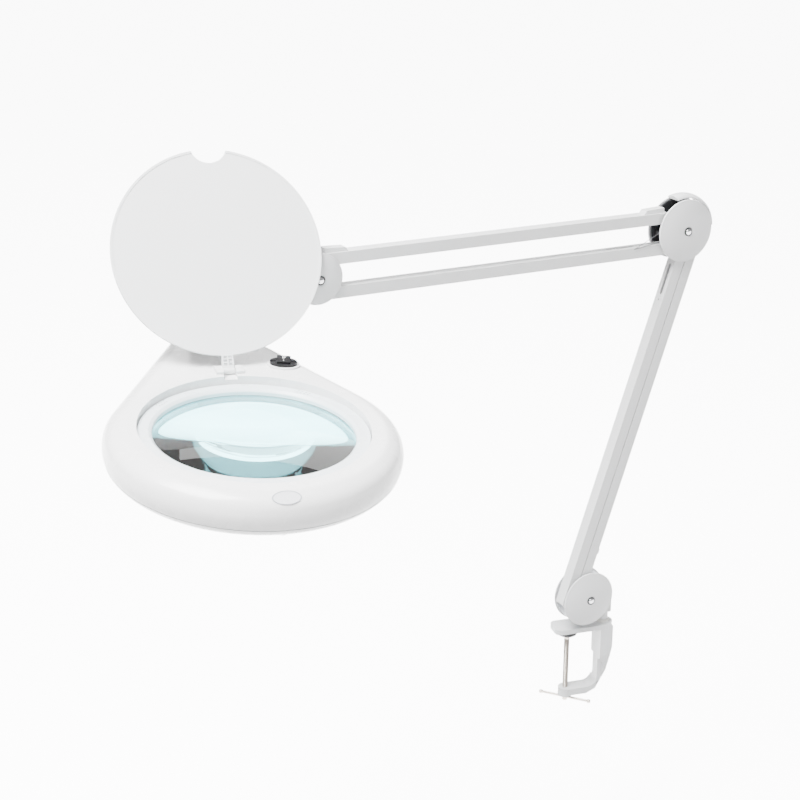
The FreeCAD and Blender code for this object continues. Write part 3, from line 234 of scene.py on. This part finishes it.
PLATED = finish("zinc_plate", (0.72, 0.72, 0.73), 0.22, metallic=1.0, tone=0.06)
ROD_STEEL = finish("dull_steel", (0.42, 0.38, 0.34), 0.38, metallic=1.0, tone=0.15, grain=1500.0)
SPRING = finish("spring_wire", (0.55, 0.55, 0.56), 0.3, metallic=1.0, tone=0.1)
BUSH = finish("bush_plastic", (0.72, 0.71, 0.67), 0.45)
BOARD = finish("circuit_board", (0.80, 0.82, 0.80), 0.45)
OPAL = finish("diffuser_opal", (0.90, 0.90, 0.89), 0.5, grain_strength=0.3)
BADGE = finish("badge_plastic", (0.80, 0.81, 0.84), 0.25, coat=0.3)
CHROME = finish("bolt_chrome", (0.42, 0.42, 0.43), 0.12, metallic=1.0, tone=0.2)
WIRE = finish("dark_wire", (0.16, 0.16, 0.17), 0.35, metallic=0.4, tone=0.2)
SEAM = finish("seam_shadow", (0.22, 0.225, 0.23), 0.7)
MARK_WHITE = finish("mark_white", (0.85, 0.85, 0.85), 0.5)
BADGE_EDGE = finish("badge_edge", (0.42, 0.44, 0.48), 0.3, coat=0.2)
VENT_GREY = finish("vent_shadow", (0.30, 0.33, 0.36), 0.7)
PLATE = finish("side_plate_steel", (0.40, 0.41, 0.43), 0.35, metallic=0.8, tone=0.12,
               stretch=(1, 1, 12))
LENS = lens_material()

NODE_FINISH = {
    "clamp_frame": CAST, "swivel_bush": BUSH, "clamp_screw": ROD_STEEL, "tommy_bar": ROD_STEEL,
    "pressure_pad": RUBBER, "screw_tip_collar": BUSH,
    "base_post": PAINT, "lower_left_bar": PAINT, "lower_right_bar": PAINT, "upper_top_bar": PAINT,
    "upper_bottom_bar": PAINT, "upper_bar_tabs": PAINT, "head_bracket_arm": PAINT,
    "lower_left_bushes": BUSH, "lower_right_bushes": BUSH, "upper_top_bushes": BUSH,
    "upper_bottom_bushes": BUSH, "lower_bar_clip": COVER, "lower_spring": SPRING,
    # the elbow spring anchor's black is painted shade, for the shadow seen between the elbow's bars
    "upper_spring": SPRING, "elbow_spring_anchor": BLACK, "elbow_hood": COVER,
    "swivel_stem": PLATED, "swivel_nut_set": PLATED, "tilt_ears": PAINT, "tilt_bolt_set": PLATED,
    "tilt_knob": BLACK, "head_top_shell": SHELL, "head_bottom_shell": SHELL, "lens": LENS,
    "lens_ring": RING, "lens_gasket": RUBBER, "led_board": BOARD, "diffuser": OPAL,
    "driver_board": BOARD, "shell_screws": PLATED, "badge": BADGE, "switch_bezel": BLACK,
    "switch_rocker": BLACK, "cable_grommet": RUBBER, "lid": LID_SKIN, "lid_hinge_arm": LID_SKIN,
    "lid_hinge_base": SHELL, "lid_hinge_pin": PLATED,
}
for joint_name in ("base", "elbow", "head"):
    NODE_FINISH[joint_name + "_side_plates"] = PLATE
    NODE_FINISH[joint_name + "_pivot_pins"] = PLATED
    NODE_FINISH[joint_name + "_cover_front"] = COVER
    NODE_FINISH[joint_name + "_cover_rear"] = COVER
    NODE_FINISH[joint_name + "_cover_bolt"] = PLATED
# the elbow's plates carry painted shade, near black for the shadow inside the joint
NODE_FINISH["elbow_side_plates"] = ELBOW_SHADE_STEEL          # the other two joints' plates are bare steel

for node_name, node in NODES.items():
    node.data.materials.clear()
    node.data.materials.append(NODE_FINISH[node_name])


# ---------------------------------------------------------------- pieces in mesh code
def add_piece(name, shells, material, body, sharp=35.0):
    """One object from several shells, each (frame, points in mm, faces)."""
    build = bmesh.new()
    for frame_matrix, points, faces in shells:
        corners = [build.verts.new(frame_matrix @ (Vector(point) * MM)) for point in points]
        for face in faces:
            build.faces.new([corners[index] for index in face])
    bmesh.ops.remove_doubles(build, verts=build.verts, dist=0.000002)
    bmesh.ops.recalc_face_normals(build, faces=build.faces)
    mesh = bpy.data.meshes.new(name)
    build.to_mesh(mesh)
    build.free()
    for polygon in mesh.polygons:
        polygon.use_smooth = True
    mesh.set_sharp_from_angle(angle=math.radians(sharp))
    mesh.materials.append(material)
    piece = bpy.data.objects.new(name, mesh)
    bpy.context.scene.collection.objects.link(piece)
    if body is not None:
        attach(piece, body)
    return piece


def lathe(frame_matrix, profile, steps=96, squash=1.0):
    """A turned shell about the frame's Z axis; profile is a closed loop of (radius, height),
    or an open one that starts and ends on the axis."""
    points, faces = [], []
    for step in range(steps):
        angle = 2 * math.pi * step / steps
        for radius, height in profile:
            points.append((radius * math.cos(angle), squash * radius * math.sin(angle), height))
    count = len(profile)
    on_axis = profile[0][0] == 0.0
    for step in range(steps):
        here, after = step * count, (step + 1) % steps * count
        for index in range(count - 1 if on_axis else count):
            follow = (index + 1) % count
            face = [here + index, here + follow, after + follow, after + index]
            if profile[index][0] == 0.0:
                face = face[:3]
            elif profile[follow][0] == 0.0:
                face = [face[0], face[1], face[3]]
            faces.append(face)
    return frame_matrix, points, faces


def prism(frame_matrix, outline, low, high):
    """A straight block on a plan outline."""
    count = len(outline)
    points = [(x, y, height) for height in (low, high) for x, y in outline]
    faces = [list(range(count)), list(range(count, 2 * count))]
    for index in range(count):
        follow = (index + 1) % count
        faces.append([index, follow, count + follow, count + index])
    return frame_matrix, points, faces


def arc_profile(start, end, centre, steps):
    """Points along a circular arc in a profile, both ends included."""
    first = math.atan2(start[1] - centre[1], start[0] - centre[0])
    last = math.atan2(end[1] - centre[1], end[0] - centre[0])
    reach = math.hypot(start[0] - centre[0], start[1] - centre[1])
    points = [(centre[0] + reach * math.cos(first + (last - first) * step / steps),
               centre[1] + reach * math.sin(first + (last - first) * step / steps))
              for step in range(steps + 1)]
    points[0], points[-1] = start, end
    return points


# the joint covers, in mm: their seat is COVER_OUT from the arm's middle plane, and the crown falls
# from a flat hub to a rounded edge above the rim
COVER_OUT, CROWN, RIM, WALL = 9.45, 6.0, 1.0, 1.8
EDGE_IN, EDGE_UP, EDGE_STEPS = 1.2, 0.8, 5
HUB, FALL_POWER, FALL_STEPS = 5.8, 2.17, 16
LIP, LIP_DOWN, RECESS, RECESS_DEEP, BORE = 5.3, 0.15, 5.0, 0.8, 2.2
UNDER_HUB, UNDER_CROWN, UNDER_REACH = 2.6, 3.2, 0.62


def cover_profile(radius):
    """A cover's closed section, from its seat over the crown and back underneath."""
    outer = [(radius - WALL, 0.0), (radius, 0.0), (radius, RIM)]
    for step in range(1, EDGE_STEPS + 1):
        angle = math.radians(90 * step / EDGE_STEPS)
        outer.append((radius - EDGE_IN * (1 - math.cos(angle)), RIM + EDGE_UP * math.sin(angle)))
    fall = CROWN - RIM - EDGE_UP
    for step in range(1, FALL_STEPS + 1):
        share = 1 - step / FALL_STEPS
        outer.append((HUB + (radius - (EDGE_IN + HUB)) * share,
                      CROWN - fall * share ** FALL_POWER))
    return outer + [(LIP, CROWN - LIP_DOWN), (RECESS, CROWN - RECESS_DEEP),
                    (BORE, CROWN - RECESS_DEEP), (BORE, CROWN - UNDER_HUB),
                    (radius * UNDER_REACH, CROWN - UNDER_CROWN)]


def dome(radius, base, height, steps=8, side=0.5):
    """An open profile from the axis over a domed head, down its short straight side to the seat."""
    angles = [math.radians(90 * step / steps) for step in range(1, steps + 1)]
    return [(0.0, base + height)] + [
        (radius * math.sin(angle), base + side + (height - side) * math.cos(angle))
        for angle in angles] + [(radius, base), (0.0, base)]


BOLT_HEAD, BOLT_HEAD_HIGH, BOLT_HEAD_GAP = 3.3, 2.55, 0.02
SHANK, SHANK_PAST, NUT, NUT_THICK = 1.95, 3.7, 3.4, 2.6
SEAL_PROFILE = [(BOLT_HEAD, 0.0), (4.7, 0.0), (4.6, 0.45), (3.4, 0.45)]
HEXAGON = [(NUT * math.cos(math.radians(60 * corner)), NUT * math.sin(math.radians(60 * corner)))
           for corner in range(6)]

COVERS = (                                   # piece prefix, frame, radius in mm, body
    ("base", BASE, 31.0, "base"), ("elbow", ELBOW, 33.0, "elbow"),
    ("head", HEAD_JOINT, 25.0, "head_bracket"),
)

for prefix, place, radius, body in COVERS:
    front, rear = place @ turn("X", 90), place @ turn("X", -90)
    for side, outward in (("front", front), ("rear", rear)):
        node_name = "%s_cover_%s" % (prefix, side)
        piece = add_piece(node_name + "_skin", [
            lathe(outward @ shift(0, 0, COVER_OUT), cover_profile(radius), 128)],
            COVER, body)
        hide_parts(node_name)
    seat = COVER_OUT + CROWN - RECESS_DEEP
    shank_end = -seat - SHANK_PAST
    bolt = add_piece(prefix + "_bolt_and_nut", [
        lathe(front, dome(BOLT_HEAD, seat + BOLT_HEAD_GAP, BOLT_HEAD_HIGH), 48),
        lathe(front, [(0.0, seat), (SHANK, seat), (SHANK, shank_end), (0.0, shank_end)], 32),
        prism(rear, HEXAGON, seat, seat + NUT_THICK)], CHROME, body)
    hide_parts(prefix + "_cover_bolt")
    add_piece(prefix + "_bolt_seal", [
        lathe(front @ shift(0, 0, seat), SEAL_PROFILE, 48)], BLACK, body)

# the lens: two shallow caps on a thin edge, heights from the ring's top face
LENS_RADIUS, LENS_TOP, LENS_LOW, BULGE, CAP_STEPS = 89.0, -6.0, -10.0, 9.8, 28
CURVE = (LENS_RADIUS ** 2 + BULGE ** 2) / (2 * BULGE)
lower_cap = arc_profile((0.0, LENS_LOW - BULGE), (LENS_RADIUS, LENS_LOW),
                        (0.0, LENS_LOW - BULGE + CURVE), CAP_STEPS)
upper_cap = arc_profile((LENS_RADIUS, LENS_TOP), (0.0, LENS_TOP + BULGE),
                        (0.0, LENS_TOP + BULGE - CURVE), CAP_STEPS)
lens_piece = add_piece("lens_smooth", [lathe(HEAD, lower_cap + upper_cap, 160)], LENS, "head",
                       25.0)
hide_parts("lens")

# switch marks: an O on the rear half of the rocker and an I on the front half
MARK_SLOPE, MARK_REACH, MARK_UP, MARK_HIGH = 12.5, 2.5, 3.38, 0.12
O_INNER, O_OUTER, I_WIDE, I_LONG = 0.95, 1.45, 0.28, 1.3      # the I's are half sizes
add_piece("rocker_mark_off", [
    lathe(ROCKER @ shift(0, MARK_REACH, MARK_UP) @ turn("X", MARK_SLOPE),
          [(O_INNER, 0.0), (O_OUTER, 0.0), (O_OUTER, MARK_HIGH), (O_INNER, MARK_HIGH)], 32)],
    MARK_WHITE, "rocker")
add_piece("rocker_mark_on", [
    prism(ROCKER @ shift(0, -MARK_REACH, MARK_UP) @ turn("X", -MARK_SLOPE),
          [(-I_WIDE, -I_LONG), (I_WIDE, -I_LONG), (I_WIDE, I_LONG), (-I_WIDE, I_LONG)],
          0.0, MARK_HIGH)],
    MARK_WHITE, "rocker")

# the badge's blank plate has a darker raised edge
BADGE_FRONT, BADGE_DOWN, BADGE_LEAN, BADGE_SQUASH = 118.4, 3.9, 31.0, 6.4 / 12.2
BADGE_RIM = [(11.0, 0.88), (12.15, 0.88), (12.1, 1.1), (11.1, 1.1)]
badge_place = SHELLS @ shift(0, -BADGE_FRONT, SLOPE_UP - BADGE_DOWN) @ turn("X", BADGE_LEAN)
add_piece("badge_edge", [lathe(badge_place, BADGE_RIM, 96, BADGE_SQUASH)], BADGE_EDGE, "head")

# small vents in the ring: two clusters, each placed by the middle of its first row and turned by an
# angle in radians
VENT_CLUSTERS = ((-67.0, 65.0, -0.8), (59.0, 71.0, 0.75))
VENT_ROWS, VENT_COLUMNS, VENT_PITCH, VENT_ROW_PITCH = 2, 4, 3.6, 3.4
VENT_PROFILE = [(0.0, 0.06), (0.75, 0.06), (0.75, -0.2), (0.0, -0.2)]
vents = []
for centre_x, centre_y, turned in VENT_CLUSTERS:
    for row in range(VENT_ROWS):
        for column in range(VENT_COLUMNS):
            along, across = (column - (VENT_COLUMNS - 1) / 2) * VENT_PITCH, row * VENT_ROW_PITCH
            x = centre_x + along * math.cos(turned) + across * math.sin(turned)
            y = centre_y - along * math.sin(turned) + across * math.cos(turned)
            vents.append(lathe(HEAD @ shift(x, y, 0.0), VENT_PROFILE, 12))
add_piece("ring_vents", vents, VENT_GREY, "head")


# the dark seam where the two shells meet, on the head's plan outline
HEAD_ROUND, NECK_ROUND, NECK_BACK, PARTING, PARTING_INSET = 128.0, 48.0, 170.0, -19.0, 2.06
SEAM_SECTION = ((-0.06, 0.35), (-0.06, -0.45), (0.5, -0.45), (0.5, 0.35))      # inset and height
SEAM_STEPS = 300
# the share of the way round at which each run of the outline ends, and the length of a side's run
FRONT_END, RIGHT_END, BACK_MIDDLE, BACK_END, SIDE_SHARE = 0.6, 0.7, 0.8, 0.9, 0.1


def pear_point(inset, share):
    """A point on the plan outline: two rounds and their common tangents, share from 0 to 1."""
    front, rear = HEAD_ROUND - inset, NECK_ROUND - inset
    lean = math.asin((front - rear) / NECK_BACK)
    front_sweep, rear_sweep = math.pi + 2 * lean, math.pi - 2 * lean
    if share < FRONT_END:                             # round the front, left to right
        angle = math.pi - lean + front_sweep * share / FRONT_END
        return front * math.cos(angle), front * math.sin(angle)
    if share < RIGHT_END:                             # back along the right side
        mix = (share - FRONT_END) / SIDE_SHARE
        start, end = (front, 0.0), (rear, NECK_BACK)
    elif share < BACK_END:                            # round the back of the neck
        angle = lean + rear_sweep * (share - RIGHT_END) / (2 * SIDE_SHARE)
        return rear * math.cos(angle), NECK_BACK + rear * math.sin(angle)
    else:                                             # forward along the left side
        mix = (share - BACK_END) / SIDE_SHARE
        start, end = (rear, NECK_BACK), (front, 0.0)
    side = 1 if share < BACK_MIDDLE else -1
    radius = start[0] + (end[0] - start[0]) * mix
    back = start[1] + (end[1] - start[1]) * mix
    return side * radius * math.cos(lean), back + radius * math.sin(lean)


seam_points, seam_faces = [], []
for step in range(SEAM_STEPS):
    for inset, height in SEAM_SECTION:
        x, y = pear_point(PARTING_INSET + inset, step / SEAM_STEPS)
        seam_points.append((x, y, PARTING + height))
for step in range(SEAM_STEPS):
    corners = len(SEAM_SECTION)
    here, after = corners * step, corners * ((step + 1) % SEAM_STEPS)
    for index in range(corners):
        follow = (index + 1) % corners
        seam_faces.append([here + index, here + follow, after + follow, after + index])
add_piece("shell_seam", [(SHELLS, seam_points, seam_faces)], SEAM, "head")


# two thin wires from the lower upper-arm bar to the elbow, along the front plate's inner face
WIRE_RADIUS, WIRE_OUT, WIRE_RINGS, WIRE_SIDES = 0.32, -7.14, 10, 10
WIRE_START = (-62.0, WIRE_OUT, -13.0)
WIRE_ENDS = {"elbow_wire_long": (-19.0, WIRE_OUT, 6.0), "elbow_wire_short": (-19.0, WIRE_OUT, -7.5)}


def wire(name, points, radius):
    """A thin wire through points."""
    runs = []
    for start, end in zip(points, points[1:]):
        start, end = Vector(start), Vector(end)
        axis = (end - start).to_track_quat("Z", "Y").to_matrix().to_4x4()
        length = (end - start).length
        side = [(radius, length * step / WIRE_RINGS) for step in range(WIRE_RINGS + 1)]
        runs.append(lathe(ELBOW @ Matrix.Translation(start * MM) @ axis,
                          [(0.0, 0.0)] + side + [(0.0, length)], WIRE_SIDES))
    piece = add_piece(name, runs, WIRE, None)
    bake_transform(piece)


for wire_name, wire_end in WIRE_ENDS.items():
    wire(wire_name, [WIRE_START, wire_end], WIRE_RADIUS)

# ---------------------------------------------------------------- camera, light and floor
CAMERA_AT = Vector((-655.9, -1618.7, 918.8)) * MM
CAMERA_AIM = Vector((-208.1, -53.2, 311.5)) * MM
SENSOR_WIDTH, FOCAL_LENGTH = 36.0, 79.0      # mm
CLIP_END = 50.0                              # m
camera_data = bpy.data.cameras.new("camera")
camera_data.sensor_width = SENSOR_WIDTH
camera_data.lens = FOCAL_LENGTH
camera_data.clip_end = CLIP_END
camera = bpy.data.objects.new("camera", camera_data)
bpy.context.scene.collection.objects.link(camera)
camera.location = CAMERA_AT
camera.rotation_euler = (CAMERA_AIM - CAMERA_AT).to_track_quat("-Z", "Y").to_euler()
bpy.context.scene.camera = camera


def area_light(name, at, aim, width, height, power):
    """A rectangular lamp, sizes and places in metres and power in watts."""
    data = bpy.data.lights.new(name, "AREA")
    data.shape = "RECTANGLE"
    data.size, data.size_y = width, height
    data.energy = power
    lamp = bpy.data.objects.new(name, data)
    bpy.context.scene.collection.objects.link(lamp)
    lamp.location = at
    lamp.rotation_euler = (Vector(aim) - Vector(at)).to_track_quat("-Z", "Y").to_euler()


MIDDLE = (-0.2, 0.0, 0.3)
area_light("key", (-1.2, -0.5, 2.5), MIDDLE, 1.3, 1.3, 300)
area_light("fill", (-1.4, -2.2, 0.6), MIDDLE, 1.8, 1.8, 30)
area_light("rim", (0.4, 1.8, 1.9), MIDDLE, 1.6, 1.0, 26)

# the sky is bright above and dim below, so that undersides fall into soft shade
SKY_DIM, SKY_BRIGHT, SKY_SPREAD = 0.22, 1.3, 0.8
world = bpy.data.worlds.new("studio")
world.use_nodes = True
sky_nodes, sky_links = world.node_tree.nodes, world.node_tree.links
sky_nodes["Background"].inputs["Color"].default_value = (1, 1, 1, 1)
sky_place = sky_nodes.new("ShaderNodeTexCoord")
sky_split = sky_nodes.new("ShaderNodeSeparateXYZ")
sky_links.new(sky_place.outputs["Generated"], sky_split.inputs["Vector"])
sky_level = sky_nodes.new("ShaderNodeMapRange")
sky_level.inputs["From Min"].default_value = -SKY_SPREAD
sky_level.inputs["From Max"].default_value = SKY_SPREAD
sky_level.inputs["To Min"].default_value = SKY_DIM
sky_level.inputs["To Max"].default_value = SKY_BRIGHT
sky_links.new(sky_split.outputs["Z"], sky_level.inputs["Value"])
sky_links.new(sky_level.outputs["Result"], sky_nodes["Background"].inputs["Strength"])
bpy.context.scene.world = world

# the floor glows white but gives no diffuse light, so that undersides stay in soft shade
GLOW = 9.0
studio_white = finish("floor_matt", (0.93, 0.93, 0.93), 0.9, tone=0.0, grain_strength=0.0)
glow_shader = studio_white.node_tree.nodes["Principled BSDF"]
glow_shader.inputs["Emission Color"].default_value = (1, 1, 1, 1)
glow_shader.inputs["Emission Strength"].default_value = GLOW


def studio_object(name, points, faces):
    """A sheet of the studio in its glowing white, points in metres."""
    mesh = bpy.data.meshes.new(name)
    mesh.from_pydata(points, [], faces)
    mesh.materials.append(studio_white)
    sheet = bpy.data.objects.new(name, mesh)
    bpy.context.scene.collection.objects.link(sheet)
    sheet.visible_diffuse = False
    return sheet


FLOOR_Z, FLOOR_HALF = -0.30, 30.0
floor = studio_object("floor", [(FLOOR_HALF * x, FLOOR_HALF * y, FLOOR_Z)
                                for x, y in ((-1, -1), (1, -1), (1, 1), (-1, 1))], [(0, 1, 2, 3)])

# a round wall of the same finish, so that low views have no hard horizon
WALL_SIDES, WALL_REACH, WALL_TOP = 48, 28.0, 40.0
wall_points, wall_faces = [], []
for height in (FLOOR_Z, WALL_TOP):
    for side in range(WALL_SIDES):
        angle = 2 * math.pi * side / WALL_SIDES
        wall_points.append((WALL_REACH * math.cos(angle), WALL_REACH * math.sin(angle), height))
for side in range(WALL_SIDES):
    follow = (side + 1) % WALL_SIDES
    wall_faces.append((side, follow, WALL_SIDES + follow, WALL_SIDES + side))
backdrop = studio_object("backdrop", wall_points, wall_faces)
backdrop.visible_glossy = False
